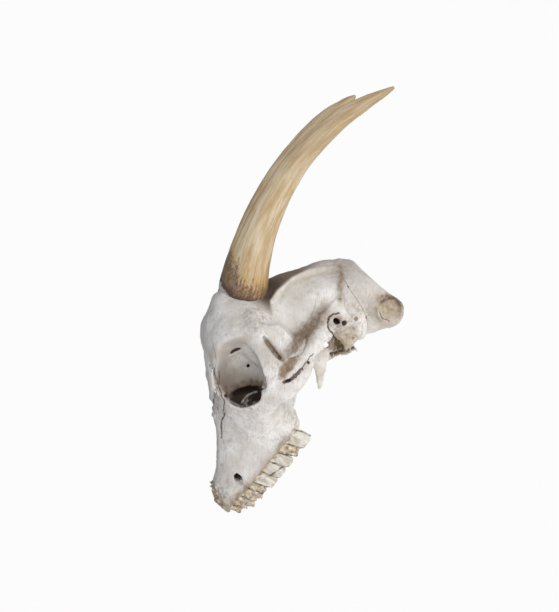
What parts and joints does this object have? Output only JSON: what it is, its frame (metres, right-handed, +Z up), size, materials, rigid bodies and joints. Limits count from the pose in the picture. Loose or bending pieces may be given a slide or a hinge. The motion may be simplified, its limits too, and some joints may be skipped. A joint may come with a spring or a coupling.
{
  "type": "goat skull",
  "caption": "Bleached goat skull without a lower jaw, with two long bony horn cores that curve backward and worn upper cheek teeth.",
  "frame": {"origin": "middle of the skull's box, on the surface that it lies on", "axes": "-X toward the nose, +X toward the back of the head and the horn tips, -Y the animal's left side, +Z up as the skull lies on its teeth and its neck knobs"},
  "size_m": [0.2657, 0.1413, 0.1201],
  "materials": {
    "bone": "dry matte bleached bone with brown stains along its sutures",
    "horn_core": "smooth tan bone with lengthwise grooves and a dark ring at the base",
    "tooth": "worn enamel, slightly smoother than the bone"
  },
  "bodies": {
    "root": {"cranium": "bone", "horn_core_left": "horn_core", "horn_core_right": "horn_core", "molar_3_left": "tooth", "molar_2_left": "tooth", "molar_1_left": "tooth", "premolar_4_left": "tooth", "premolar_3_left": "tooth", "premolar_2_left": "tooth", "molar_3_right": "tooth", "molar_2_right": "tooth", "molar_1_right": "tooth", "premolar_4_right": "tooth", "premolar_3_right": "tooth", "premolar_2_right": "tooth"}
  },
  "joints": []
}
